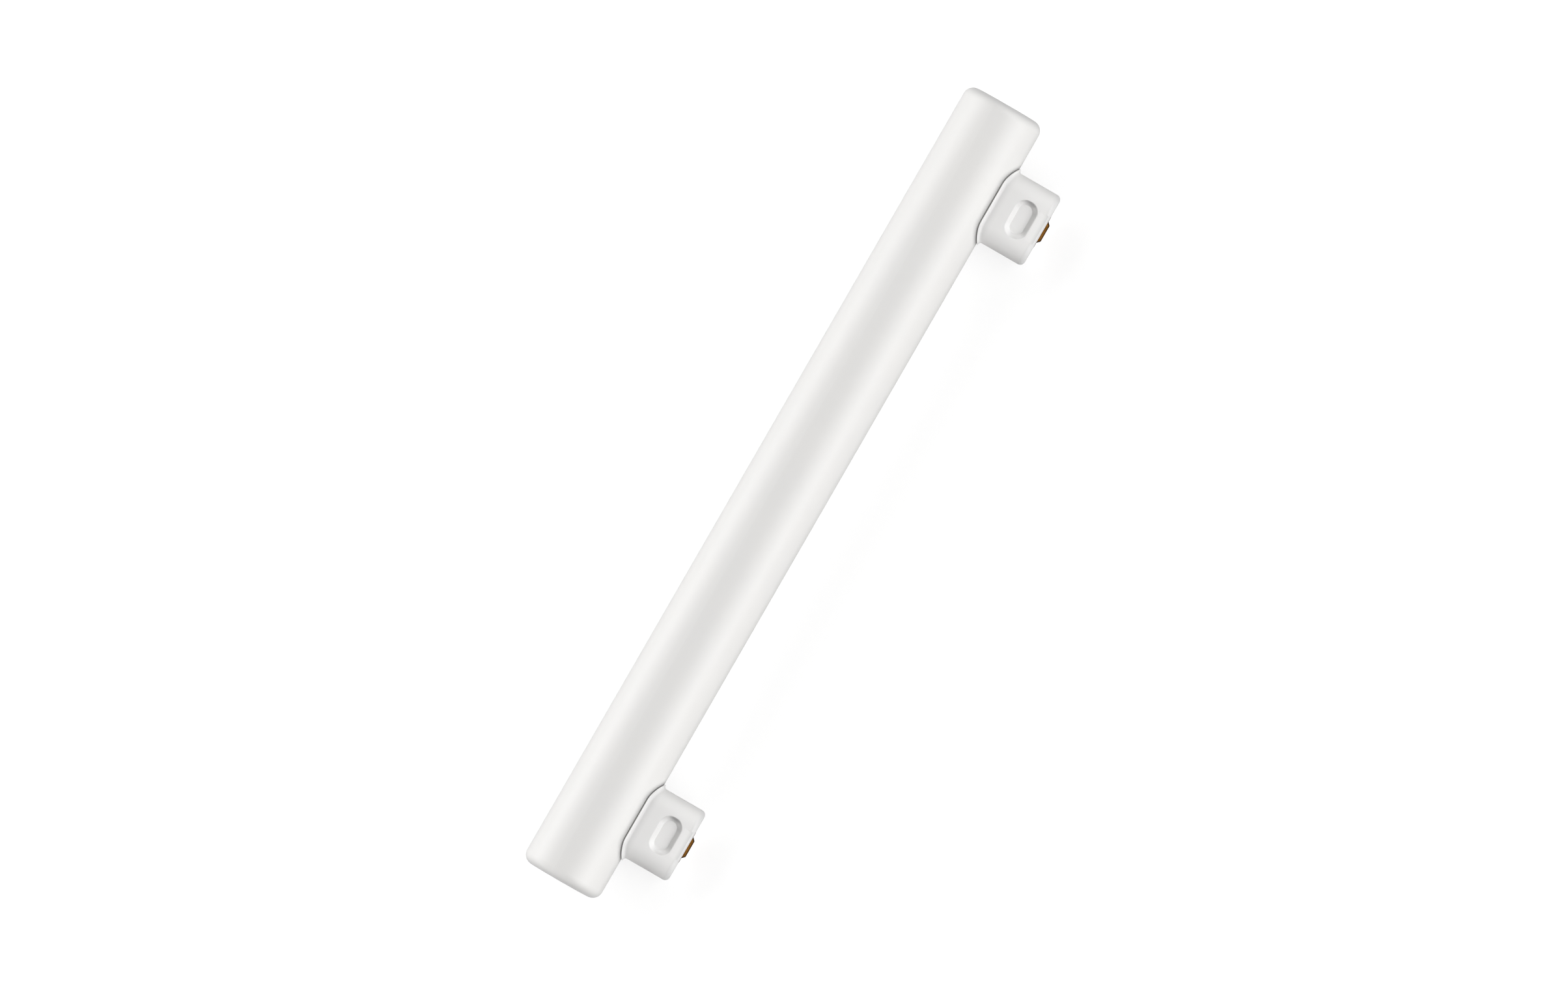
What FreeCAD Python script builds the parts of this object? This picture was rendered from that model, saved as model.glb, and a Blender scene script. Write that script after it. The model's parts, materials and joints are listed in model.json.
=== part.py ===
import FreeCAD, Part
import math
import os

import Sketcher
from FreeCAD import Placement, Rotation, Vector

# A linear lamp, 300 mm long: a sealed opal tube, two moulded side bases bonded under it,
# a stamped contact in the end of each base and a lead wire behind each contact.
# The lamp lies as it comes to rest on a flat surface, with X along the tube.
# Each base is drawn in its own frame: X along the tube, Y across it and Z straight out
# from the tube's axis to the base's end face.

# Driving dimensions in millimetres
SIZES = (
    # Tube
    ("tube_diameter", 29.0),
    ("tube_length", 300.0),
    ("tube_edge_radius", 3.6),
    # Base body, with its inset from the tube's end and its reach from the tube's axis
    ("base_inset", 30.9),
    ("base_length", 26.7),
    ("base_width", 14.9),
    ("base_end_flat", 2.5),
    ("base_reach", 31.65),
    ("base_edge_radius", 1.8),
    # Flange that spreads from the base over the tube
    ("flange_overhang", 1.2),
    ("flange_thickness", 0.5),
    ("flare_radius", 1.1),
    ("rim_gap_height", 0.28),
    ("rim_gap_depth", 0.5),
    ("glue_line", 0.1),
    # Latch recess in each flat side, and the ramp that leads a holder's spring into it.
    # The recess takes a share of the side's height, and its slopes a share of its width
    ("recess_share", 0.434),
    ("recess_slope_share", 0.171),
    ("recess_offset", 0.5),
    ("recess_length", 13.4),
    ("recess_depth", 1.3),
    ("recess_edge_radius", 0.9),
    ("recess_floor_radius", 0.35),
    ("ramp_width", 10.8),
    ("ramp_depth", 0.4),
    ("ramp_gap", 0.6),
    # Hollow inside the base
    ("side_wall", 1.4),
    ("end_wall", 1.8),
    ("cavity_end_flat", 1.5),
    # Contact, stamped from sheet
    ("sheet_thickness", 0.3),
    ("plate_length", 12.4),
    ("plate_width", 7.2),
    ("plate_corner", 1.0),
    ("seat_depth", 0.2),
    ("boss_length", 8.15),
    ("boss_width", 5.6),
    ("boss_top_length", 6.05),
    ("boss_top_width", 4.4),
    ("boss_corner", 0.8),
    ("boss_edge_radius", 0.3),
    ("boss_rise", 1.13),
    ("leg_width", 4.0),
    ("bend_radius", 0.2),
    ("clinch_length", 1.5),
    ("fit", 0.1),
    # Lead wire from the tube to the contact
    ("wire_diameter", 1.0),
    ("wire_clearance", 0.5),
    ("wire_shift", 3.0),
    ("wire_bend_radius", 4.0),
    ("wire_bend_start", 3.5),
)

# Sizes that follow from the driving ones
DERIVED = (
    ("tube_radius", "=tube_diameter / 2"),
    ("saddle_radius", "=tube_radius + glue_line"),
    ("flange_radius", "=tube_radius + flange_thickness"),
    ("base_spacing", "=tube_length - 2 * base_inset"),
    ("base_corner", "=(base_width - base_end_flat) / 2"),
    ("flange_length", "=base_length + 2 * flange_overhang"),
    ("flange_width", "=base_width + 2 * flange_overhang"),
    ("flange_corner", "=base_corner + flange_overhang"),
    ("trim_half_width", "=flange_width / 2 + 1"),
    ("trim_reach", "=flange_radius + 1"),
    ("side_foot", "=sqrt(flange_radius ^ 2 - (base_width / 2) ^ 2) + flare_radius"),
    ("side_height", "=base_reach - side_foot"),
    ("recess_width", "=side_height * recess_share"),
    ("recess_reach", "=side_foot + side_height / 2 + recess_offset"),
    ("recess_slope_run", "=recess_width * recess_slope_share"),
    ("floor_length", "=recess_length - 2 * recess_slope_run"),
    ("floor_width", "=recess_width - 2 * recess_slope_run"),
    ("floor_offset", "=base_width / 2 - recess_depth"),
    ("ramp_start", "=recess_reach + recess_width / 2 + ramp_gap"),
    ("cavity_length", "=base_length - 2 * side_wall"),
    ("cavity_width", "=base_width - 2 * (recess_depth + side_wall)"),
    ("cavity_corner", "=(cavity_width - cavity_end_flat) / 2"),
    ("cavity_reach", "=base_reach - end_wall"),
    ("plate_bottom", "=base_reach - seat_depth"),
    ("plate_top", "=plate_bottom + sheet_thickness"),
    ("contact_reach", "=base_reach + boss_rise"),
    ("flat_length", "=plate_length - 2 * (bend_radius + sheet_thickness)"),
    ("seat_length", "=flat_length + 2 * fit"),
    ("seat_width", "=plate_width + 2 * fit"),
    ("seat_corner", "=plate_corner + fit"),
    ("slot_inner", "=flat_length / 2"),
    ("slot_thickness", "=bend_radius + sheet_thickness + fit"),
    ("slot_width", "=leg_width + 2 * fit"),
    ("boss_height", "=contact_reach - plate_top"),
    ("boss_end_run", "=(boss_length - boss_top_length) / 2"),
    ("boss_side_run", "=(boss_width - boss_top_width) / 2"),
    ("boss_end_slope", "=sqrt(boss_end_run ^ 2 + boss_height ^ 2)"),
    ("boss_side_slope", "=sqrt(boss_side_run ^ 2 + boss_height ^ 2)"),
    ("skin_end", "=sheet_thickness * (boss_end_slope - boss_end_run) / boss_height"),
    ("skin_side", "=sheet_thickness * (boss_side_slope - boss_side_run) / boss_height"),
    ("hollow_length", "=boss_length - 2 * skin_end"),
    ("hollow_width", "=boss_width - 2 * skin_side"),
    ("hollow_top_length", "=boss_top_length - 2 * skin_end"),
    ("hollow_top_width", "=boss_top_width - 2 * skin_side"),
    ("hollow_corner", "=boss_corner - sheet_thickness"),
    ("hollow_reach", "=contact_reach - sheet_thickness"),
    ("wire_radius", "=wire_diameter / 2"),
    ("wire_hole_radius", "=wire_radius + wire_clearance"),
)

NEAR = 0.02

doc = FreeCAD.newDocument("linear_lamp")
sheet = doc.addObject("Spreadsheet::Sheet", "Sizes")
for row, (alias, content) in enumerate(SIZES + DERIVED, start=1):
    sheet.set("A%d" % row, alias)
    sheet.set("B%d" % row, str(content))
    sheet.setAlias("B%d" % row, alias)
doc.recompute()


def size(alias):
    """The value of one named size, in millimetres."""
    return float(sheet.get(alias))


class Drawing:
    """A sketch on one of a body's own planes: drawn at its size, then tied to the sheet."""

    def __init__(self, body, name, plane, level=None):
        self.sketch = body.newObject("Sketcher::SketchObject", name)
        support = next(item for item in body.Origin.OriginFeatures if item.Role == plane)
        self.sketch.AttachmentSupport = [(support, "")]
        self.sketch.MapMode = "FlatFace"
        if level:
            self.sketch.setExpression("AttachmentOffset.Base.z", level)

    def line(self, start, end):
        return self.sketch.addGeometry(Part.LineSegment(Vector(*start), Vector(*end)), False)

    def arc(self, centre, radius, first, last):
        """An arc that runs anticlockwise from one angle to another, in degrees."""
        circle = Part.Circle(Vector(*centre), Vector(0, 0, 1), radius)
        curve = Part.ArcOfCircle(circle, math.radians(first), math.radians(last))
        return self.sketch.addGeometry(curve, False)

    def circle(self, centre, radius):
        return self.sketch.addGeometry(Part.Circle(Vector(*centre), Vector(0, 0, 1), radius), False)

    def tie(self, kind, *where):
        return self.sketch.addConstraint(Sketcher.Constraint(kind, *where))

    def measure(self, kind, *where, value, formula):
        """A dimension with its present value, driven by a formula of the sheet."""
        index = self.tie(kind, *where, value)
        self.sketch.setExpression("Constraints[%d]" % index, formula)

    def polygon(self, points):
        """A closed run of lines, each tied level or upright where its ends are."""
        lines = [self.line(a, b) for a, b in zip(points, points[1:] + points[:1])]
        for here, (a, b) in enumerate(zip(points, points[1:] + points[:1])):
            following = lines[(here + 1) % len(lines)]
            self.tie("Coincident", lines[here], 2, following, 1)
            if abs(a[1] - b[1]) < NEAR:
                self.tie("Horizontal", lines[here])
            elif abs(a[0] - b[0]) < NEAR:
                self.tie("Vertical", lines[here])
        return lines

    def rounded_rectangle(self, length, width, corner):
        """A rectangle with rounded corners about the origin, from three names of the sheet."""
        a = size(length) / 2
        b = size(width) / 2
        r = size(corner)
        bottom = self.line((r - a, -b), (a - r, -b))
        first = self.arc((a - r, r - b), r, -90, 0)
        right = self.line((a, r - b), (a, b - r))
        second = self.arc((a - r, b - r), r, 0, 90)
        top = self.line((a - r, b), (r - a, b))
        third = self.arc((r - a, b - r), r, 90, 180)
        left = self.line((-a, b - r), (-a, r - b))
        fourth = self.arc((r - a, r - b), r, 180, 270)
        loop = (bottom, first, right, second, top, third, left, fourth)
        for here, following in zip(loop, loop[1:] + loop[:1]):
            self.tie("Tangent", here, 2, following, 1)
        for level in (bottom, top):
            self.tie("Horizontal", level)
        for upright in (right, left):
            self.tie("Vertical", upright)
        for one, other in ((first, second), (second, third), (third, fourth)):
            self.tie("Equal", one, other)
        self.tie("Symmetric", first, 3, third, 3, -1, 1)
        self.measure("Radius", first, value=r, formula="Sizes." + corner)
        self.measure("DistanceX", left, 1, right, 1, value=2 * a, formula="Sizes." + length)
        self.measure("DistanceY", bottom, 1, top, 1, value=2 * b, formula="Sizes." + width)
        return self.sketch

    def slot_outline(self, length, width, reach):
        """A slot with round ends, level, centred over the origin at a reach."""
        half = (size(length) - size(width)) / 2
        r = size(width) / 2
        up = size(reach)
        bottom = self.line((-half, up - r), (half, up - r))
        right = self.arc((half, up), r, -90, 90)
        top = self.line((half, up + r), (-half, up + r))
        left = self.arc((-half, up), r, 90, 270)
        loop = (bottom, right, top, left)
        for here, following in zip(loop, loop[1:] + loop[:1]):
            self.tie("Tangent", here, 2, following, 1)
        self.tie("Equal", right, left)
        self.tie("Symmetric", right, 3, left, 3, -2)
        self.measure("Radius", right, value=r, formula="Sizes.%s / 2" % width)
        apart = "Sizes.%s - Sizes.%s" % (length, width)
        self.measure("DistanceX", left, 3, right, 3, value=2 * half, formula=apart)
        self.measure("DistanceY", -1, 1, right, 3, value=up, formula="Sizes." + reach)
        return self.sketch


def new_body(name):
    body = doc.addObject("PartDesign::Body", name)
    body.Label = name
    return body


def pad(body, name, sketch, length, symmetric=False):
    """Add a prism on a sketch, along its normal or to both sides of it."""
    feature = body.newObject("PartDesign::Pad", name)
    feature.Profile = sketch
    feature.SideType = "Symmetric" if symmetric else "One side"
    feature.setExpression("Length", length)
    return feature


def pocket(body, name, sketch, length=None, symmetric=False, forward=False):
    """Cut a prism on a sketch: forward along its normal, to both sides, or through all."""
    feature = body.newObject("PartDesign::Pocket", name)
    feature.Profile = sketch
    feature.SideType = "Symmetric" if symmetric else "One side"
    feature.Reversed = forward
    if length:
        feature.setExpression("Length", length)
    else:
        feature.Type = "ThroughAll"
    return feature


def loft(body, name, kind, first, second):
    """Join two like outlines with a ruled loft, added or cut."""
    feature = body.newObject("PartDesign::" + kind, name)
    feature.Profile = first
    feature.Sections = [second]
    feature.Ruled = True
    return feature


def round_edges(body, name, base, radius, chosen):
    """Round the edges of a feature that a test on their middle points chooses."""
    doc.recompute()
    feature = body.newObject("PartDesign::Fillet", name)
    feature.Base = (base, edges_where(base, chosen))
    feature.setExpression("Radius", radius)
    return feature


def edges_where(feature, chosen):
    names = []
    for number, edge in enumerate(feature.Shape.Edges, start=1):
        middle = edge.valueAt((edge.FirstParameter + edge.LastParameter) / 2)
        if chosen(middle):
            names.append("Edge%d" % number)
    return names


def outline_gap(point, length, width, corner):
    """How far a point lies outside a rounded rectangle about the origin, seen along Z."""
    across = max(abs(point.x) - size(length) / 2 + size(corner), 0)
    along = max(abs(point.y) - size(width) / 2 + size(corner), 0)
    return math.hypot(across, along) - size(corner)


def axis_distance(point):
    """A point's distance from the tube's axis, in a base's own frame."""
    return math.hypot(point.y, point.z)


def make_tube(name):
    """The sealed tube: one closed form of revolution with rounded end edges."""
    body = new_body(name)
    section = Drawing(body, name + "_half_section", "XZ_Plane")
    a = size("tube_length") / 2
    b = size("tube_radius")
    r = size("tube_edge_radius")
    axis = section.line((-a, 0), (a, 0))
    right = section.line((a, 0), (a, b - r))
    right_edge = section.arc((a - r, b - r), r, 0, 90)
    wall = section.line((a - r, b), (r - a, b))
    left_edge = section.arc((r - a, b - r), r, 90, 180)
    left = section.line((-a, b - r), (-a, 0))
    section.tie("Coincident", axis, 2, right, 1)
    section.tie("Tangent", right, 2, right_edge, 1)
    section.tie("Tangent", right_edge, 2, wall, 1)
    section.tie("Tangent", wall, 2, left_edge, 1)
    section.tie("Tangent", left_edge, 2, left, 1)
    section.tie("Coincident", left, 2, axis, 1)
    section.tie("Vertical", right)
    section.tie("Vertical", left)
    section.tie("Horizontal", wall)
    section.tie("Equal", right_edge, left_edge)
    section.tie("Symmetric", axis, 1, axis, 2, -1, 1)
    section.tie("Horizontal", axis)
    section.measure("Radius", right_edge, value=r, formula="Sizes.tube_edge_radius")
    section.measure("DistanceX", axis, 1, axis, 2, value=2 * a, formula="Sizes.tube_length")
    section.measure("DistanceY", -1, 1, wall, 1, value=b, formula="Sizes.tube_radius")
    turned = body.newObject("PartDesign::Revolution", name + "_turned")
    turned.Profile = section.sketch
    turned.ReferenceAxis = (section.sketch, ["H_Axis"])
    return body


def add_flange_and_stem(body, name):
    """The flange, trimmed to the tube's curve, and the upright stem with its flare."""
    plan = Drawing(body, name + "_flange_plan", "XY_Plane")
    plan.rounded_rectangle("flange_length", "flange_width", "flange_corner")
    pad(body, name + "_flange", plan.sketch, "Sizes.trim_reach")

    # What lies outside the arc goes, so that the flange keeps an even thickness
    trim = Drawing(body, name + "_flange_curve", "YZ_Plane")
    half = size("trim_half_width")
    up = size("trim_reach")
    r = size("flange_radius")
    low = math.sqrt(r * r - half * half)
    turn = math.degrees(math.asin(half / r))
    curve = trim.arc((0, 0), r, 90 - turn, 90 + turn)
    left = trim.line((-half, low), (-half, up))
    top = trim.line((-half, up), (half, up))
    right = trim.line((half, up), (half, low))
    trim.tie("Coincident", curve, 2, left, 1)
    trim.tie("Coincident", left, 2, top, 1)
    trim.tie("Coincident", top, 2, right, 1)
    trim.tie("Coincident", right, 2, curve, 1)
    trim.tie("Coincident", curve, 3, -1, 1)
    trim.tie("Vertical", left)
    trim.tie("Vertical", right)
    trim.tie("Symmetric", top, 1, top, 2, -2)
    trim.measure("Radius", curve, value=r, formula="Sizes.flange_radius")
    trim.measure("DistanceX", top, 1, top, 2, value=2 * half, formula="2 * Sizes.trim_half_width")
    trim.measure("DistanceY", -1, 1, top, 1, value=up, formula="Sizes.trim_reach")
    pocket(body, name + "_flange_trim", trim.sketch, symmetric=True)

    plan = Drawing(body, name + "_stem_plan", "XY_Plane")
    plan.rounded_rectangle("base_length", "base_width", "base_corner")
    stem = pad(body, name + "_stem", plan.sketch, "Sizes.base_reach")

    def stem_meets_flange(point):
        on_stem = abs(outline_gap(point, "base_length", "base_width", "base_corner")) < NEAR
        return on_stem and abs(axis_distance(point) - size("flange_radius")) < NEAR

    def end_edge(point):
        return abs(point.z - size("base_reach")) < NEAR

    flare = round_edges(body, name + "_flare", stem, "Sizes.flare_radius", stem_meets_flange)
    round_edges(body, name + "_end_rounding", flare, "Sizes.base_edge_radius", end_edge)


def add_recesses(body, name):
    """The sloped latch recess and its lead-in ramp, on both flat sides."""
    rim = Drawing(body, name + "_recess_rim", "XZ_Plane", "-Sizes.base_width / 2")
    rim.slot_outline("recess_length", "recess_width", "recess_reach")
    floor = Drawing(body, name + "_recess_floor", "XZ_Plane", "-Sizes.floor_offset")
    floor.slot_outline("floor_length", "floor_width", "recess_reach")
    recess = loft(body, name + "_recess", "SubtractiveLoft", rim.sketch, floor.sketch)

    wedge = Drawing(body, name + "_ramp_section", "YZ_Plane")
    flat = size("base_width") / 2
    start = size("ramp_start")
    end = size("base_reach")
    deep = size("ramp_depth")
    lines = wedge.polygon([(flat, start), (flat - deep, end), (flat + deep, end), (flat + deep, start)])
    wedge.measure("DistanceX", -1, 1, lines[0], 1, value=flat, formula="Sizes.base_width / 2")
    wedge.measure("DistanceY", -1, 1, lines[0], 1, value=start, formula="Sizes.ramp_start")
    wedge.measure("DistanceY", -1, 1, lines[1], 1, value=end, formula="Sizes.base_reach")
    wedge.measure("DistanceX", lines[1], 1, lines[0], 1, value=deep, formula="Sizes.ramp_depth")
    wedge.measure("DistanceX", lines[0], 1, lines[2], 1, value=deep, formula="Sizes.ramp_depth")
    ramp = pocket(body, name + "_ramp", wedge.sketch, "Sizes.ramp_width", symmetric=True)

    doc.recompute()
    both = body.newObject("PartDesign::Mirrored", name + "_far_recess")
    both.Originals = [recess, ramp]
    middle = next(item for item in body.Origin.OriginFeatures if item.Role == "XZ_Plane")
    both.MirrorPlane = (middle, [""])
    body.Tip = both

    def in_recess(point):
        inside = abs(point.x) < size("recess_length") / 2 + NEAR
        return inside and abs(point.z - size("recess_reach")) < size("recess_width") / 2 + NEAR

    def recess_rim(point):
        return in_recess(point) and abs(abs(point.y) - size("base_width") / 2) < NEAR

    def recess_floor(point):
        return in_recess(point) and abs(abs(point.y) - size("floor_offset")) < NEAR

    soft = round_edges(body, name + "_recess_rounding", both, "Sizes.recess_edge_radius", recess_rim)
    round_edges(body, name + "_floor_rounding", soft, "Sizes.recess_floor_radius", recess_floor)


def add_hollow(body, name):
    """The hollow for the wiring, the saddle for the tube and the openings for the contact."""
    cavity = Drawing(body, name + "_cavity_plan", "XY_Plane")
    cavity.rounded_rectangle("cavity_length", "cavity_width", "cavity_corner")
    pocket(body, name + "_cavity", cavity.sketch, "Sizes.cavity_reach", forward=True)

    saddle = Drawing(body, name + "_saddle_curve", "YZ_Plane")
    circle = saddle.circle((0, 0), size("saddle_radius"))
    saddle.tie("Coincident", circle, 3, -1, 1)
    saddle.measure("Radius", circle, value=size("saddle_radius"), formula="Sizes.saddle_radius")
    pocket(body, name + "_saddle", saddle.sketch, symmetric=True)

    seat = Drawing(body, name + "_contact_seat_plan", "XY_Plane", "Sizes.base_reach")
    seat.rounded_rectangle("seat_length", "seat_width", "seat_corner")
    pocket(body, name + "_contact_seat", seat.sketch, "Sizes.seat_depth")

    slots = Drawing(body, name + "_slot_plan", "XY_Plane", "Sizes.base_reach")
    half = size("slot_width") / 2
    for side in (-1, 1):
        near = side * size("slot_inner")
        far = near + side * size("slot_thickness")
        lines = slots.polygon([(near, -half), (far, -half), (far, half), (near, half)])
        reach = (-1, 1, lines[0], 1) if side > 0 else (lines[0], 1, -1, 1)
        across = (lines[0], 1, lines[0], 2) if side > 0 else (lines[0], 2, lines[0], 1)
        slots.measure("DistanceX", *reach, value=abs(near), formula="Sizes.slot_inner")
        slots.measure("DistanceX", *across, value=abs(far - near), formula="Sizes.slot_thickness")
        slots.measure("DistanceY", lines[1], 1, lines[1], 2, value=2 * half, formula="Sizes.slot_width")
        slots.measure("DistanceY", -1, 1, lines[1], 2, value=half, formula="Sizes.slot_width / 2")
    hole = slots.circle((0, 0), size("wire_hole_radius"))
    slots.tie("Coincident", hole, 3, -1, 1)
    slots.measure("Radius", hole, value=size("wire_hole_radius"), formula="Sizes.wire_hole_radius")
    pocket(body, name + "_slots", slots.sketch, "Sizes.end_wall")


def relieve_rim(body, name):
    """The bevel under the flange's rim, which leaves a fine shadow gap against the tube."""
    doc.recompute()
    finished = body.Tip

    def rim_edge(point):
        beside = abs(outline_gap(point, "flange_length", "flange_width", "flange_corner")) < NEAR
        return beside and abs(axis_distance(point) - size("saddle_radius")) < NEAR

    bevel = body.newObject("PartDesign::Chamfer", name + "_rim_gap")
    bevel.Base = (finished, edges_where(finished, rim_edge))
    bevel.ChamferType = "Two distances"
    bevel.setExpression("Size", "Sizes.rim_gap_height")
    bevel.setExpression("Size2", "Sizes.rim_gap_depth")


def make_base(name):
    """One moulded base: a hollow upright body with latch recesses and a saddle flange."""
    body = new_body(name)
    add_flange_and_stem(body, name)
    add_recesses(body, name)
    add_hollow(body, name)
    relieve_rim(body, name)
    return body


def make_contact(name):
    """One stamped contact: a seated plate, a drawn boss and two clinched legs."""
    body = new_body(name)
    plate = Drawing(body, name + "_plate_plan", "XY_Plane", "Sizes.plate_bottom")
    plate.rounded_rectangle("flat_length", "plate_width", "plate_corner")
    pad(body, name + "_plate", plate.sketch, "Sizes.sheet_thickness")

    # Leg section: bent down at the plate's end, then turned outward under the end wall
    thick = size("sheet_thickness")
    inner = size("bend_radius")
    outer = inner + thick
    end = size("plate_length") / 2
    top = size("plate_top")
    foot_top = size("cavity_reach") - size("fit")
    foot_end = end + size("clinch_length")
    leg = Drawing(body, name + "_leg_section", "XZ_Plane")
    root = leg.line((end - outer, top - thick), (end - outer, top))
    over = leg.arc((end - outer, top - outer), outer, 0, 90)
    down = leg.line((end, top - outer), (end, foot_top + inner))
    heel = leg.arc((end + inner, foot_top + inner), inner, 180, 270)
    foot = leg.line((end + inner, foot_top), (foot_end, foot_top))
    toe = leg.line((foot_end, foot_top), (foot_end, foot_top - thick))
    sole = leg.line((foot_end, foot_top - thick), (end + inner, foot_top - thick))
    ankle = leg.arc((end + inner, foot_top + inner), outer, 180, 270)
    back = leg.line((end - thick, foot_top + inner), (end - thick, top - outer))
    under = leg.arc((end - outer, top - outer), inner, 0, 90)
    leg.tie("Coincident", root, 2, over, 2)
    leg.tie("Tangent", over, 1, down, 1)
    leg.tie("Tangent", down, 2, heel, 1)
    leg.tie("Tangent", heel, 2, foot, 1)
    leg.tie("Coincident", foot, 2, toe, 1)
    leg.tie("Coincident", toe, 2, sole, 1)
    leg.tie("Tangent", sole, 2, ankle, 2)
    leg.tie("Tangent", ankle, 1, back, 1)
    leg.tie("Tangent", back, 2, under, 1)
    leg.tie("Coincident", under, 2, root, 1)
    leg.tie("Coincident", over, 3, under, 3)
    leg.tie("Coincident", heel, 3, ankle, 3)
    leg.tie("Vertical", root)
    leg.tie("Vertical", down)
    leg.tie("Horizontal", foot)
    leg.tie("Horizontal", sole)
    leg.tie("Vertical", toe)
    leg.tie("PointOnObject", over, 3, root)
    leg.measure("Radius", heel, value=inner, formula="Sizes.bend_radius")
    leg.measure("Radius", under, value=inner, formula="Sizes.bend_radius")
    leg.measure("DistanceY", toe, 2, toe, 1, value=thick, formula="Sizes.sheet_thickness")
    leg.measure("DistanceY", root, 1, root, 2, value=thick, formula="Sizes.sheet_thickness")
    leg.measure("DistanceX", -1, 1, down, 1, value=end, formula="Sizes.plate_length / 2")
    leg.measure("DistanceX", down, 2, toe, 1, value=foot_end - end, formula="Sizes.clinch_length")
    leg.measure("DistanceY", -1, 1, root, 2, value=top, formula="Sizes.plate_top")
    leg.measure("DistanceY", -1, 1, toe, 1, value=foot_top, formula="Sizes.cavity_reach - Sizes.fit")
    one_leg = pad(body, name + "_leg", leg.sketch, "Sizes.leg_width", symmetric=True)
    doc.recompute()
    legs = body.newObject("PartDesign::Mirrored", name + "_other_leg")
    legs.Originals = [one_leg]
    middle = next(item for item in body.Origin.OriginFeatures if item.Role == "YZ_Plane")
    legs.MirrorPlane = (middle, [""])
    body.Tip = legs

    # The boss is drawn up out of the plate, with an even skin
    outer_foot = Drawing(body, name + "_boss_foot", "XY_Plane", "Sizes.plate_top")
    outer_foot.rounded_rectangle("boss_length", "boss_width", "boss_corner")
    outer_top = Drawing(body, name + "_boss_top", "XY_Plane", "Sizes.contact_reach")
    outer_top.rounded_rectangle("boss_top_length", "boss_top_width", "boss_corner")
    boss = loft(body, name + "_boss", "AdditiveLoft", outer_foot.sketch, outer_top.sketch)

    def boss_rim(point):
        return abs(point.z - size("contact_reach")) < NEAR

    round_edges(body, name + "_boss_rounding", boss, "Sizes.boss_edge_radius", boss_rim)
    inner_foot = Drawing(body, name + "_hollow_foot", "XY_Plane", "Sizes.plate_bottom")
    inner_foot.rounded_rectangle("hollow_length", "hollow_width", "hollow_corner")
    inner_top = Drawing(body, name + "_hollow_top", "XY_Plane", "Sizes.hollow_reach")
    inner_top.rounded_rectangle("hollow_top_length", "hollow_top_width", "hollow_corner")
    loft(body, name + "_boss_hollow", "SubtractiveLoft", inner_foot.sketch, inner_top.sketch)
    return body


def make_lead_wire(name):
    """One lead wire: out of the tube, over in an easy bend and up under the contact's boss."""
    body = new_body(name)
    shift = size("wire_shift")
    bend = size("wire_bend_radius")
    low = size("tube_radius")
    start = low + size("wire_bend_start")
    turn = math.degrees(math.acos(1 - shift / (2 * bend)))
    middle_up = start + bend * math.sin(math.radians(turn))
    end = 2 * middle_up - start
    high = size("hollow_reach")
    section = Drawing(body, name + "_section", "XY_Plane", "Sizes.tube_radius")
    circle = section.circle((shift, 0), size("wire_radius"))
    section.tie("PointOnObject", circle, 3, -1)
    section.measure("Radius", circle, value=size("wire_radius"), formula="Sizes.wire_radius")
    section.measure("DistanceX", -1, 1, circle, 3, value=shift, formula="Sizes.wire_shift")
    route = Drawing(body, name + "_route", "XZ_Plane")
    rise = route.line((shift, low), (shift, start))
    away = route.arc((shift - bend, start), bend, 0, turn)
    back = route.arc((bend, end), bend, 180, 180 + turn)
    finish = route.line((0, end), (0, high))
    route.tie("Vertical", rise)
    route.tie("Vertical", finish)
    route.tie("Tangent", rise, 2, away, 1)
    route.tie("Tangent", away, 2, back, 2)
    route.tie("Tangent", back, 1, finish, 1)
    route.tie("Equal", away, back)
    route.tie("PointOnObject", finish, 2, -2)
    route.measure("Radius", away, value=bend, formula="Sizes.wire_bend_radius")
    route.measure("DistanceX", -1, 1, rise, 1, value=shift, formula="Sizes.wire_shift")
    route.measure("DistanceY", -1, 1, rise, 1, value=low, formula="Sizes.tube_radius")
    route.measure("DistanceY", rise, 1, rise, 2, value=start - low, formula="Sizes.wire_bend_start")
    route.measure("DistanceY", -1, 1, finish, 2, value=high, formula="Sizes.hollow_reach")
    doc.recompute()
    pipe = body.newObject("PartDesign::AdditivePipe", name + "_drawn")
    pipe.Profile = section.sketch
    pipe.Spine = (route.sketch, ["Edge%d" % (n + 1) for n in range(4)])
    return body


def resting_tilt():
    """How far the bases dip, in degrees, when the tube and their end edges lie on a surface."""
    edge = size("base_edge_radius")
    out = size("base_reach") - edge
    across = size("base_width") / 2 - edge
    drop = math.asin((size("tube_radius") - edge) / math.hypot(out, across))
    return math.degrees(drop - math.atan2(across, out))


# The lamp lies on the tube's lowest line and on the bases' end edges,
# centred over the origin
tilt = resting_tilt()
furthest = (
    size("contact_reach") * math.cos(math.radians(tilt))
    + size("boss_top_width") / 2 * math.sin(math.radians(tilt))
)
axis_across = (size("tube_radius") - furthest) / 2
axis_up = size("tube_radius")
dip = Rotation(Vector(1, 0, 0), -90 - tilt)

# The tube isn't turned, so the seam of its round face lies on top
tube = make_tube("tube")
tube.Placement = Placement(Vector(0, axis_across, axis_up), Rotation())
parts = [tube]
for side, along in (("left", -size("base_spacing") / 2), ("right", size("base_spacing") / 2)):
    for maker, kind in ((make_base, "base"), (make_contact, "contact"), (make_lead_wire, "lead_wire")):
        piece = maker("%s_%s" % (kind, side))
        piece.Placement = Placement(Vector(along, axis_across, axis_up), dip)
        parts.append(piece)

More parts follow.
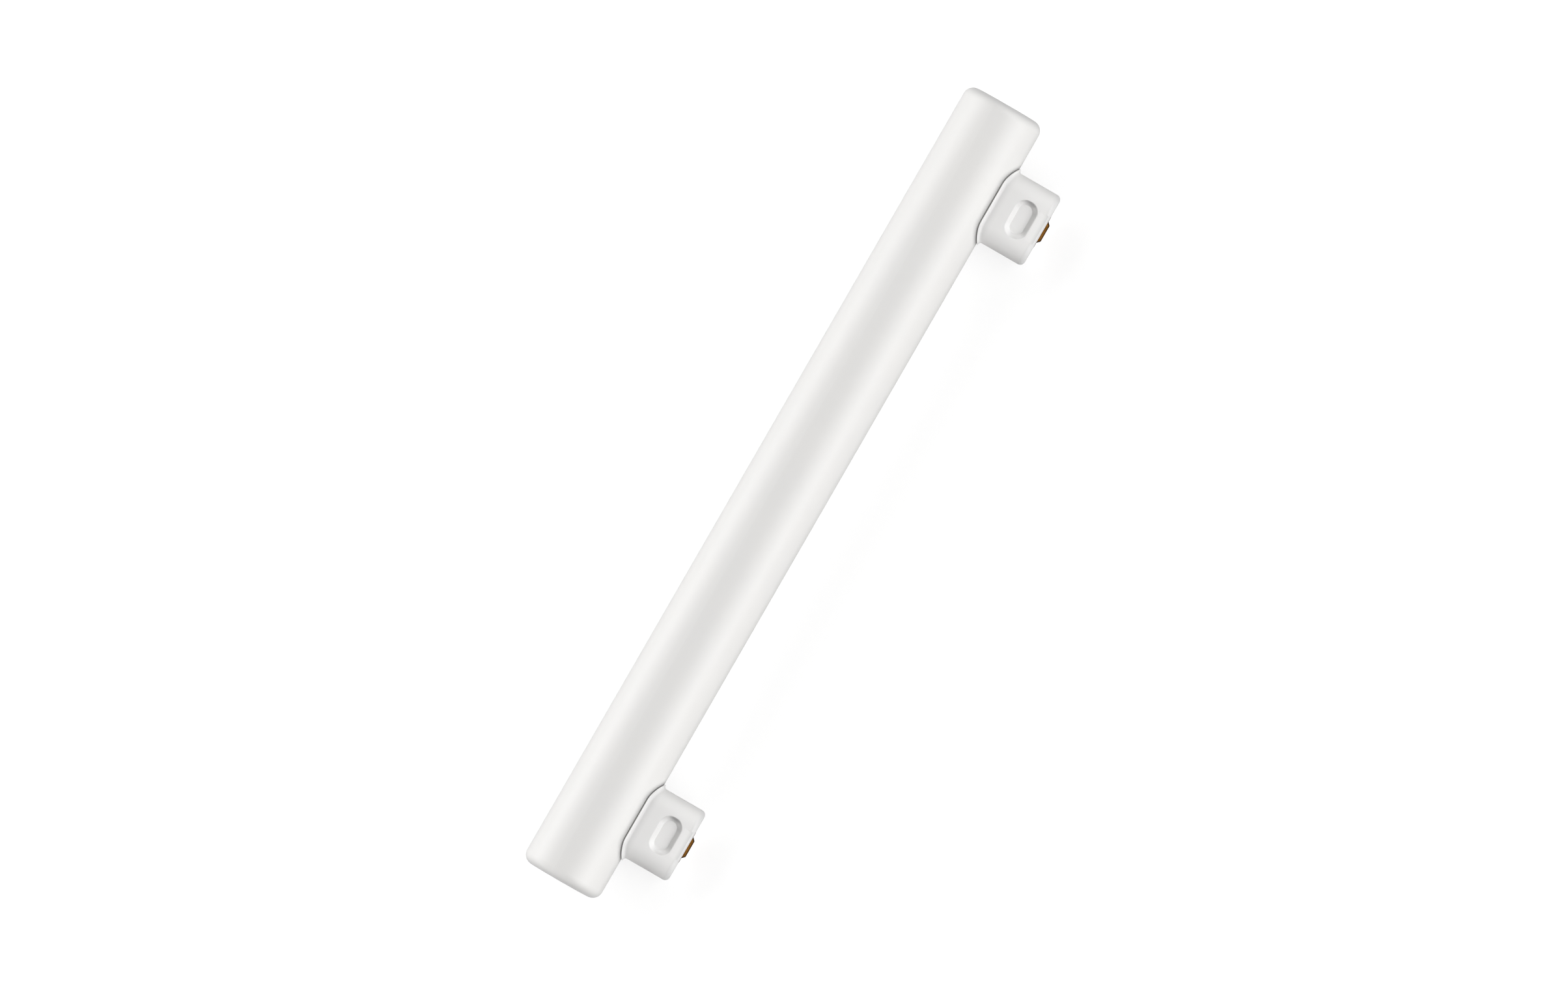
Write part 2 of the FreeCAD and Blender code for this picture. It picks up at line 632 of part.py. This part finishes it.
doc.recompute()
for item in doc.Objects:
    if "Invalid" in item.State or "Error" in item.State:
        raise RuntimeError("%s did not build: %s" % (item.Name, item.State))
for piece in parts:
    if piece.Shape.isNull() or not piece.Shape.isValid():
        raise RuntimeError("%s has no valid shape" % piece.Label)

os.makedirs("parts", exist_ok=True)
for piece in parts:
    piece.Shape.exportStep(os.path.join("parts", piece.Label + ".step"))
    box = piece.Shape.BoundBox
    print(
        "%-16s volume %9.1f mm3, x %7.2f %7.2f, y %6.2f %6.2f, z %6.2f %6.2f"
        % (piece.Label, piece.Shape.Volume, box.XMin, box.XMax, box.YMin, box.YMax, box.ZMin, box.ZMax)
    )
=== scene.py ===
import json
import math

import bpy
from mathutils import Matrix, Vector


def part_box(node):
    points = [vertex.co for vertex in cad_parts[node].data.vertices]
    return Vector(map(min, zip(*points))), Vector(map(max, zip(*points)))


# A linear opal lamp that lies on a pale floor, seen square on to its two bases.
# Lengths are in metres, angles in degrees and the grain of a material in grains a metre.

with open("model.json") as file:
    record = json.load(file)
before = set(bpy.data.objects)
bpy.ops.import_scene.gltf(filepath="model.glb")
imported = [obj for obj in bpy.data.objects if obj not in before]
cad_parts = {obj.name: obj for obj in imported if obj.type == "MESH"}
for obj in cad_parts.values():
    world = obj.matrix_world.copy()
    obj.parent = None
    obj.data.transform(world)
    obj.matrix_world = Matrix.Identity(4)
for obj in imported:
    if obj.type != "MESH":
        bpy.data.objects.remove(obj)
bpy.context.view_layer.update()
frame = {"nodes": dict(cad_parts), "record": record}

MM = 0.001

# The photograph: its size in pixels, its scale, the pixel where the tube's middle lies
# and how far the tube leans from the upright
PHOTO_WIDTH = 2408
PHOTO_HEIGHT = 1515
PIXEL_SIZE = 0.218416 * MM
TUBE_PIXEL = (1202.4, 756.2)
TUBE_LEAN = 30.0

# The camera's lens and sensor in millimetres, and where it starts and stops seeing, as
# shares of its distance
LENS = 500
SENSOR = 36
CLIP_START = 0.1
CLIP_END = 4

# The lamp's own directions: along the tube, out to the bases' ends, and up from their flat sides
along = Vector((1, 0, 0))
outward = Vector(frame["record"]["mounts"][0]["axis"])
facing = Vector((0, -outward.z, outward.y))

# The picture's directions on the lamp
lean = math.radians(TUBE_LEAN)
picture_right = math.cos(lean) * outward - math.sin(lean) * along
picture_up = -math.sin(lean) * outward - math.cos(lean) * along

tube_low, tube_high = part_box("tube")
tube_middle = (tube_low + tube_high) / 2
tube_half = (tube_high.x - tube_low.x) / 2

# How far the middles of the bases lie from the tube's, along it
BASE_MIDDLE = 119.1 * MM

# The part of a noise's range that is used, and the coat on the pale materials
NOISE_SPAN = (0.3, 0.7)
COAT_ROUGHNESS = 0.3

# The tube: its colours and grain, and how far along and how far out painted shade greys its ends
TUBE_COOL = (0.832, 0.824, 0.811)
TUBE_WARM = (0.840, 0.830, 0.813)
TUBE_CLOUD = 45
TUBE_SHEEN = 260
TUBE_ROUGHNESS = (0.34, 0.42)
TUBE_DRAWN = 900
TUBE_STRETCH = (0.15, 1, 1)
TUBE_BUMP = (0.05, 0.02 * MM)
# Painted shade at the tube's ends: its colour, where it starts along the tube, how fast it grows and
# the ring it covers
END_SHADE_COLOUR = (0.66, 0.654, 0.645)
END_START = 146.4 * MM
END_FALL = 2.2
END_RING = (9.6 * MM, 11.7 * MM)

# The painted shadow beside a flange: the flange's outline as length, width and corner, the
# line's colour, its width, how fast it fades and how ragged it is
FLANGE = (29.1 * MM, 17.3 * MM, 7.4 * MM)
SEAM_SHADOW_COLOUR = (0.40, 0.395, 0.39)
SEAM_WIDTH = 1.9 * MM
SEAM_FALL = 1.6
SEAM_GRAIN = 1500
SEAM_RAGGED = 0.06 * MM

# The bases: their colours and grain, and how far from the tube's middle painted shade greys them,
# in and out of the flare's hollow and towards the outer edges
BASE_COOL = (0.920, 0.913, 0.904)
BASE_WARM = (0.925, 0.917, 0.904)
BASE_CLOUD = 120
BASE_SHEEN = 700
BASE_ROUGHNESS = (0.44, 0.54)
BASE_GRAIN = 5200
BASE_BUMP = (0.12, 0.02 * MM)
BASE_SHADE_COLOUR = (0.745, 0.740, 0.736)
FLARE_START = (12.1 * MM, 12.8 * MM)
FLARE_END = (12.9 * MM, 16.0 * MM)
FLARE_FALL = 1.5
EDGE_START = (29.5 * MM, 31.0 * MM)

# A latch recess: its rim's outline as length, width and corner, and how far its middle lies
# from the tube's. Its walls read steeper and turned, by this share and angle, up to just past
# the rim. They carry painted shade where they face the dark side, an angle from outward
# towards along, and a painted highlight where they face away from it, and the slopes say from
# where to where that tells. At the recess's ends the shading fades from the rim inwards, down
# to its least.
RECESS = (13.4 * MM, 7.6 * MM, 2.2 * MM)
RECESS_MIDDLE = 23.4 * MM
RECESS_HIGHLIGHT_COLOUR = (0.985, 0.981, 0.975)
RECESS_SHADE_COLOUR = (0.69, 0.683, 0.677)
RECESS_STEEPENING = 0.8
RECESS_TURN = 24
RECESS_EDGE = (0.1 * MM, 0.3 * MM)
RECESS_FADE = (-1.3 * MM, -0.45 * MM)
RECESS_LEAST = 0.15
DARK_SIDE = 132
DARK_SLOPE = (0.1, 0.6)
SIDEWAYS_SLOPE = (0.2, 0.6)

# A contact: its colours and grain, how far out the foot and the top of its boss lie and half
# its length at each, how steep its ends are, how far in its edges are darker, and how
# nearly a face has to face outward to be spared, with the darkening that is left on it
CONTACT_DARK = (0.185, 0.078, 0.012)
CONTACT_LIGHT = (0.32, 0.147, 0.034)
CONTACT_EDGE = (0.060, 0.026, 0.007)
CONTACT_STAIN = 650
CONTACT_SPAN = (0.35, 0.65)
CONTACT_SCRATCH = 9000
CONTACT_STRETCH = (0.08, 1, 1)
CONTACT_ROUGHNESS = (0.32, 0.55)
CONTACT_BUMP = (0.2, 0.01 * MM)
BOSS_FOOT = 31.65 * MM
BOSS_TOP = 32.78 * MM
BOSS_FOOT_HALF = 4.08 * MM
BOSS_TOP_HALF = 3.03 * MM
BOSS_SLANT = 0.73
EDGE_DARKENING = (0.22 * MM, 0.45 * MM)
OUTWARD_SLOPE = (0.8, 0.97)
OUTWARD_LEAST = 0.15

# The lead wires' colours and grain
WIRE_DULL = (0.62, 0.62, 0.60)
WIRE_BRIGHT = (0.78, 0.78, 0.77)
WIRE_CLOUD = 900
WIRE_MOTTLE = 2500
WIRE_ROUGHNESS = (0.28, 0.48)
WIRE_BUMP = (0.1, 0.01 * MM)

# The floor, with its glow where it is seen and the share of that glow in a reflection
FLOOR_HALF = 6.0
FLOOR_COLOUR = (0.4, 0.4, 0.4)
FLOOR_ROUGHNESS = 0.9
FLOOR_SPECULAR = 0.1
FLOOR_GLOW = 0.74
FLOOR_MIRRORED = 0.3

# The softboxes: their size and distance, and each one's name, turn, lift and power
SOFTBOX_SIZE = (4.8, 2.0)
SOFTBOX_DISTANCE = 4.4
SOFTBOXES = (
    ("right_high_softbox", 0, 52, 85),
    ("lower_right_softbox", -45, 25, 126),
    ("upper_left_softbox", 135, 26, 76),
    ("upper_right_low_softbox", 45, 24, 48),
    ("lower_softbox", -90, 48, 19),
    ("left_low_softbox", 180, -4, 200),
    ("upper_left_low_softbox", 135, 8, 43),
)


def at_angle(angle, first, second):
    """The direction that lies an angle from a first direction towards a second."""
    return math.cos(math.radians(angle)) * first + math.sin(math.radians(angle)) * second


# Materials

class Finish:
    """A node-based material, with helpers that add and join its nodes."""

    def __init__(self, name, metallic=0.0, coat=0.0):
        self.material = bpy.data.materials.new(name)
        self.material.use_nodes = True
        self.nodes = self.material.node_tree.nodes
        self.links = self.material.node_tree.links
        self.shader = self.nodes["Principled BSDF"]
        self.shader.inputs["Metallic"].default_value = metallic
        self.shader.inputs["Coat Weight"].default_value = coat
        self.shader.inputs["Coat Roughness"].default_value = COAT_ROUGHNESS
        self.place = self.nodes.new("ShaderNodeTexCoord").outputs["Object"]

    def join(self, source, socket):
        """Link a value to one of the shader's sockets."""
        self.links.new(source, self.shader.inputs[socket])

    def maths(self, operation, first, second=None, clamp=False):
        """One sum on a value, with a number or another value."""
        node = self.nodes.new("ShaderNodeMath")
        node.operation = operation
        node.use_clamp = clamp
        for socket, value in zip(node.inputs, (first, second)):
            if isinstance(value, (int, float)):
                socket.default_value = value
            elif value is not None:
                self.links.new(value, socket)
        return node.outputs[0]

    def dot(self, source, direction):
        """How far a vector reaches along a direction."""
        node = self.nodes.new("ShaderNodeVectorMath")
        node.operation = "DOT_PRODUCT"
        node.inputs[1].default_value = direction
        self.links.new(source, node.inputs[0])
        return node.outputs["Value"]

    def spread(self, source, low, high, first=0.0, last=1.0):
        """Stretch a value that runs from first to last, so that it runs from low to high."""
        node = self.nodes.new("ShaderNodeMapRange")
        node.inputs["From Min"].default_value = first
        node.inputs["From Max"].default_value = last
        node.inputs["To Min"].default_value = low
        node.inputs["To Max"].default_value = high
        self.links.new(source, node.inputs["Value"])
        return node.outputs["Result"]

    def noise(self, scale, detail=2.0, roughness=0.5, stretch=None):
        """A noise in the lamp's own space."""
        node = self.nodes.new("ShaderNodeTexNoise")
        node.inputs["Scale"].default_value = scale
        node.inputs["Detail"].default_value = detail
        node.inputs["Roughness"].default_value = roughness
        place = self.place
        if stretch:
            mapping = self.nodes.new("ShaderNodeMapping")
            mapping.inputs["Scale"].default_value = stretch
            self.links.new(place, mapping.inputs["Vector"])
            place = mapping.outputs["Vector"]
        self.links.new(place, node.inputs["Vector"])
        return node.outputs["Fac"]

    def blend(self, factor, first, second):
        """A colour between two, by a factor. Each is a plain colour or another node's."""
        node = self.nodes.new("ShaderNodeMix")
        node.data_type = "RGBA"
        colours = [socket for socket in node.inputs if socket.type == "RGBA"]
        for socket, colour in zip(colours, (first, second)):
            if isinstance(colour, tuple):
                socket.default_value = (*colour, 1)
            else:
                self.links.new(colour, socket)
        self.links.new(factor, node.inputs["Factor"])
        return next(socket for socket in node.outputs if socket.type == "RGBA")

    def bump(self, height, strength, distance, normal=None):
        """Fine relief on the surface, on top of a normal where one is given."""
        node = self.nodes.new("ShaderNodeBump")
        if normal:
            self.links.new(normal, node.inputs["Normal"])
        node.inputs["Strength"].default_value = strength
        node.inputs["Distance"].default_value = distance
        self.links.new(height, node.inputs["Height"])
        self.join(node.outputs["Normal"], "Normal")

    def steepened(self, direction, share):
        """The surface's normal with a share of one direction taken out, so slopes read steeper."""
        part = self.nodes.new("ShaderNodeVectorMath")
        part.operation = "SCALE"
        part.inputs[0].default_value = direction
        self.links.new(self.maths("MULTIPLY", self.slope(direction), share), part.inputs["Scale"])
        rest = self.nodes.new("ShaderNodeVectorMath")
        rest.operation = "SUBTRACT"
        self.links.new(self.normal(), rest.inputs[0])
        self.links.new(part.outputs["Vector"], rest.inputs[1])
        unit = self.nodes.new("ShaderNodeVectorMath")
        unit.operation = "NORMALIZE"
        self.links.new(rest.outputs["Vector"], unit.inputs[0])
        return unit.outputs["Vector"]

    def turned(self, normal, axis, angle):
        """A normal turned about an axis by an angle in radians."""
        node = self.nodes.new("ShaderNodeVectorRotate")
        node.inputs["Axis"].default_value = axis
        self.links.new(normal, node.inputs["Vector"])
        self.links.new(angle, node.inputs["Angle"])
        return node.outputs["Vector"]

    def normal(self):
        """The surface's own normal."""
        return self.nodes.new("ShaderNodeNewGeometry").outputs["Normal"]

    def slope(self, direction):
        """How much the surface faces a direction."""
        return self.dot(self.normal(), direction)

    def reach(self, direction, start):
        """How far a point lies along a direction from a starting point."""
        return self.maths("SUBTRACT", self.dot(self.place, direction), direction.dot(start))

    def from_tube_middle(self):
        """How far a point lies from the tube's middle along the tube, to either side."""
        return self.maths("ABSOLUTE", self.reach(along, tube_middle))

    def from_base_middle(self):
        """How far a point lies from the nearer base's middle along the tube, to either side."""
        return self.maths("ABSOLUTE", self.maths("SUBTRACT", self.from_tube_middle(), BASE_MIDDLE))

    def length_of(self, first, second):
        """The length of the slanted side over two square ones."""
        squares = [self.maths("MULTIPLY", side, side) for side in (first, second)]
        return self.maths("SQRT", self.maths("ADD", *squares))

    def outline_distance(self, length, width, corner, direction, middle):
        """How far a point lies outside a rounded outline on the bases, for both bases at once.

        The outline's width runs in a direction, about a middle.
        """
        past_corners = []
        for distance, size in (
            (self.from_base_middle(), length),
            (self.maths("ABSOLUTE", self.reach(direction, middle)), width),
        ):
            past = self.maths("SUBTRACT", distance, size / 2 - corner)
            past_corners.append(self.maths("MAXIMUM", past, 0.0))
        return self.maths("SUBTRACT", self.length_of(*past_corners), corner)


def opal_finish():
    """Satin opal tube: even milky white with a faint cloud and a fine drawn surface."""
    finish = Finish("opal_tube", coat=1.0)
    cloud = finish.spread(finish.noise(TUBE_CLOUD, detail=3), 0, 1, *NOISE_SPAN)
    milky = finish.blend(cloud, TUBE_COOL, TUBE_WARM)
    # Painted shade greys the tube where its wall turns in at the ends, most at the very end and
    # towards the rim
    turning = finish.spread(finish.from_tube_middle(), 0, 1, END_START, tube_half)
    from_axis = finish.length_of(finish.reach(outward, tube_middle), finish.reach(facing, tube_middle))
    ring = finish.spread(from_axis, 0, 1, *END_RING)
    end_shade = finish.maths("MULTIPLY", finish.maths("POWER", turning, END_FALL), ring)
    milky = finish.blend(end_shade, milky, END_SHADE_COLOUR)
    # Painted shadow: a soft grey line runs round each flange on the tube, and keeps to the bases' side
    ragged = finish.spread(finish.noise(SEAM_GRAIN), -SEAM_RAGGED, SEAM_RAGGED, *NOISE_SPAN)
    beside = finish.maths("ADD", finish.outline_distance(*FLANGE, facing, tube_middle), ragged)
    away = finish.maths("DIVIDE", beside, SEAM_WIDTH, clamp=True)
    near = finish.maths("SUBTRACT", 1.0, away, clamp=True)
    under = finish.maths("GREATER_THAN", finish.reach(outward, tube_middle), 0.0)
    seam_shadow = finish.maths("MULTIPLY", finish.maths("POWER", near, SEAM_FALL), under)
    finish.join(finish.blend(seam_shadow, milky, SEAM_SHADOW_COLOUR), "Base Color")
    finish.join(finish.spread(finish.noise(TUBE_SHEEN), *TUBE_ROUGHNESS, *NOISE_SPAN), "Roughness")
    finish.bump(finish.noise(TUBE_DRAWN, stretch=TUBE_STRETCH), *TUBE_BUMP)
    return finish.material


def moulded_finish():
    """White moulded plastic with a fine even matt grain."""
    finish = Finish("white_base", coat=1.0)
    cloud = finish.spread(finish.noise(BASE_CLOUD, detail=3), 0, 1, *NOISE_SPAN)
    clean = finish.blend(cloud, BASE_COOL, BASE_WARM)
    # Painted shade greys the hollow of the flare and the outer edges a little
    out = finish.reach(outward, tube_middle)
    into_flare = finish.spread(out, 0, 1, *FLARE_START)
    out_of_flare = finish.maths("POWER", finish.spread(out, 1, 0, *FLARE_END), FLARE_FALL)
    flare = finish.maths("MULTIPLY", into_flare, out_of_flare)
    edge = finish.spread(out, 0, 1, *EDGE_START)
    flare_and_edge_shade = finish.blend(finish.maths("MAXIMUM", flare, edge), clean, BASE_SHADE_COLOUR)
    finish.join(finish.spread(finish.noise(BASE_SHEEN), *BASE_ROUGHNESS, *NOISE_SPAN), "Roughness")
    # The walls of the latch recesses read steeper than they are built, with a painted highlight
    # on one side and painted shade on the other
    beside = finish.outline_distance(*RECESS, outward, tube_middle + RECESS_MIDDLE * outward)
    within = finish.spread(beside, 1, 0, *RECESS_EDGE)
    to_dark = finish.slope(at_angle(DARK_SIDE, outward, along))
    slight, full = DARK_SLOPE
    dark = finish.maths("MULTIPLY", finish.spread(to_dark, 0, 1, slight, full), within)
    light = finish.maths("MULTIPLY", finish.spread(to_dark, 1, 0, -full, -slight), within)
    # At the recess's ends the shading is strongest at the rim and fades towards the floor
    to_end = finish.maths("ABSOLUTE", finish.slope(along))
    sideways = finish.spread(to_end, 1, 0, *SIDEWAYS_SLOPE)
    fade = finish.maths("MAXIMUM", finish.spread(beside, RECESS_LEAST, 1, *RECESS_FADE), sideways)
    darkened = finish.blend(finish.maths("MULTIPLY", dark, fade), flare_and_edge_shade, RECESS_SHADE_COLOUR)
    finish.join(finish.blend(light, darkened, RECESS_HIGHLIGHT_COLOUR), "Base Color")
    steep = finish.maths("MAXIMUM", light, finish.maths("MULTIPLY", within, fade))
    normal = finish.steepened(facing, finish.maths("MULTIPLY", steep, RECESS_STEEPENING))
    turn = finish.maths("MULTIPLY", within, -math.radians(RECESS_TURN))
    normal = finish.turned(normal, facing, turn)
    finish.bump(finish.noise(BASE_GRAIN, detail=3), *BASE_BUMP, normal)
    return finish.material


def contact_finish():
    """Stamped copper alloy, dulled brown and scratched, darker along its boss's edges but for faces
    that face outward.
    """
    finish = Finish("contact_metal", metallic=1.0)
    stain = finish.noise(CONTACT_STAIN, detail=4, roughness=0.6)
    brown = finish.blend(finish.spread(stain, 0, 1, *CONTACT_SPAN), CONTACT_DARK, CONTACT_LIGHT)
    # How far a point lies inside the boss's top and inside its slanted ends
    out = finish.reach(outward, tube_middle)
    from_top = finish.maths("SUBTRACT", BOSS_TOP, out)
    half = finish.spread(out, BOSS_FOOT_HALF, BOSS_TOP_HALF, BOSS_FOOT, BOSS_TOP)
    level = finish.maths("SUBTRACT", half, finish.from_base_middle())
    inside = finish.maths("MINIMUM", from_top, finish.maths("MULTIPLY", level, BOSS_SLANT))
    # Darker towards the top and slanted ends of the boss, less so on faces that face outward
    edges = finish.spread(inside, 1, 0, *EDGE_DARKENING)
    less_outward = finish.spread(finish.slope(outward), 1, OUTWARD_LEAST, *OUTWARD_SLOPE)
    darkening = finish.maths("MULTIPLY", edges, less_outward)
    finish.join(finish.blend(darkening, brown, CONTACT_EDGE), "Base Color")
    scratch = finish.noise(CONTACT_SCRATCH, detail=3, stretch=CONTACT_STRETCH)
    finish.join(finish.spread(scratch, *CONTACT_ROUGHNESS, *NOISE_SPAN), "Roughness")
    finish.bump(scratch, *CONTACT_BUMP)
    return finish.material


def wire_finish():
    """Tinned wire, softly mottled."""
    finish = Finish("tinned_wire", metallic=1.0)
    bright = finish.spread(finish.noise(WIRE_CLOUD), 0, 1, *NOISE_SPAN)
    finish.join(finish.blend(bright, WIRE_DULL, WIRE_BRIGHT), "Base Color")
    mottle = finish.noise(WIRE_MOTTLE, detail=3)
    finish.join(finish.spread(mottle, *WIRE_ROUGHNESS, *NOISE_SPAN), "Roughness")
    finish.bump(mottle, *WIRE_BUMP)
    return finish.material


def dress(node, material):
    """Give a piece of the lamp its material, in place of what it came with."""
    piece = frame["nodes"][node]
    piece.data.materials.clear()
    piece.data.materials.append(material)


dress("tube", opal_finish())
for kind, finished, slot_name in (
    ("base", moulded_finish(), "white_base"),
    ("contact", contact_finish(), "contact_metal"),
    ("lead_wire", wire_finish(), "tinned_wire"),
):
    for side in ("left", "right"):
        dress(kind + "_" + side, finished)


# Floor and background

def seen_directly(nodes, links, mirrored=1.0):
    """One for rays that show the background to the camera or through a piece, less in a reflection."""
    path = nodes.new("ShaderNodeLightPath")
    share = nodes.new("ShaderNodeMath")
    share.operation = "MULTIPLY"
    share.inputs[1].default_value = mirrored
    links.new(path.outputs["Is Glossy Ray"], share.inputs[0])
    total = share.outputs[0]
    for kind in ("Is Camera Ray", "Is Transmission Ray"):
        either = nodes.new("ShaderNodeMath")
        either.operation = "MAXIMUM"
        links.new(total, either.inputs[0])
        links.new(path.outputs[kind], either.inputs[1])
        total = either.outputs[0]
    return total


def make_floor():
    """A pale floor that reads white where it is seen and keeps the lamp's soft shadow."""
    mesh = bpy.data.meshes.new("floor")
    corners = [(FLOOR_HALF * x, FLOOR_HALF * y, 0) for x, y in ((-1, -1), (1, -1), (1, 1), (-1, 1))]
    mesh.from_pydata(corners, [], [(0, 1, 2, 3)])
    floor = bpy.data.objects.new("floor", mesh)
    bpy.context.scene.collection.objects.link(floor)
    material = bpy.data.materials.new("pale_floor")
    material.use_nodes = True
    nodes = material.node_tree.nodes
    links = material.node_tree.links
    shader = nodes["Principled BSDF"]
    shader.inputs["Base Color"].default_value = (*FLOOR_COLOUR, 1)
    shader.inputs["Roughness"].default_value = FLOOR_ROUGHNESS
    shader.inputs["Specular IOR Level"].default_value = FLOOR_SPECULAR
    glow = nodes.new("ShaderNodeEmission")
    lift = nodes.new("ShaderNodeMath")
    lift.operation = "MULTIPLY"
    lift.inputs[1].default_value = FLOOR_GLOW
    links.new(seen_directly(nodes, links, FLOOR_MIRRORED), lift.inputs[0])
    links.new(lift.outputs[0], glow.inputs["Strength"])
    both = nodes.new("ShaderNodeAddShader")
    links.new(shader.outputs[0], both.inputs[0])
    links.new(glow.outputs[0], both.inputs[1])
    links.new(both.outputs[0], nodes["Material Output"].inputs["Surface"])
    mesh.materials.append(material)


def make_world():
    """Plain white where the camera or a reflection sees past the floor, and no light otherwise."""
    world = bpy.data.worlds.new("studio")
    bpy.context.scene.world = world
    world.use_nodes = True
    nodes = world.node_tree.nodes
    links = world.node_tree.links
    dark = nodes["Background"]
    dark.inputs["Strength"].default_value = 0.0
    white = nodes.new("ShaderNodeBackground")
    white.inputs["Color"].default_value = (1, 1, 1, 1)
    white.inputs["Strength"].default_value = 1.0
    choice = nodes.new("ShaderNodeMixShader")
    links.new(seen_directly(nodes, links), choice.inputs["Fac"])
    links.new(dark.outputs[0], choice.inputs[1])
    links.new(white.outputs[0], choice.inputs[2])
    links.new(choice.outputs[0], nodes["World Output"].inputs["Surface"])


def add_softbox(name, turn, lift, power):
    """A softbox turned to the lamp's middle.

    It stands so many degrees anticlockwise from the picture's right, and so many
    degrees up from the picture's plane towards the camera.
    """
    level = at_angle(turn, picture_right, picture_up)
    long_side = facing.cross(level)
    towards = at_angle(lift, level, facing)
    data = bpy.data.lights.new(name, "AREA")
    data.shape = "RECTANGLE"
    data.size, data.size_y = SOFTBOX_SIZE
    data.energy = power
    light = bpy.data.objects.new(name, data)
    bpy.context.scene.collection.objects.link(light)
    stand = Matrix((long_side, towards.cross(long_side), towards)).transposed().to_4x4()
    stand.translation = tube_middle + towards * SOFTBOX_DISTANCE
    light.matrix_world = stand
    light.visible_camera = False
    light.visible_glossy = False


make_floor()
make_world()
for softbox in SOFTBOXES:
    add_softbox(*softbox)


# Camera: a long lens square on to the bases' flat sides, framed as the photograph is

camera_data = bpy.data.cameras.new("camera")
camera_data.lens = LENS
camera_data.sensor_width = SENSOR
camera_distance = PHOTO_WIDTH * PIXEL_SIZE * LENS / SENSOR
camera_data.clip_start = camera_distance * CLIP_START
camera_data.clip_end = camera_distance * CLIP_END
camera = bpy.data.objects.new("camera", camera_data)
bpy.context.scene.collection.objects.link(camera)
aim = (
    tube_middle
    + (PHOTO_WIDTH / 2 - TUBE_PIXEL[0]) * PIXEL_SIZE * picture_right
    - (PHOTO_HEIGHT / 2 - TUBE_PIXEL[1]) * PIXEL_SIZE * picture_up
)
place = Matrix((picture_right, picture_up, facing)).transposed().to_4x4()
place.translation = aim + camera_distance * facing
camera.matrix_world = place
bpy.context.scene.camera = camera

bpy.context.scene.view_settings.view_transform = "Standard"
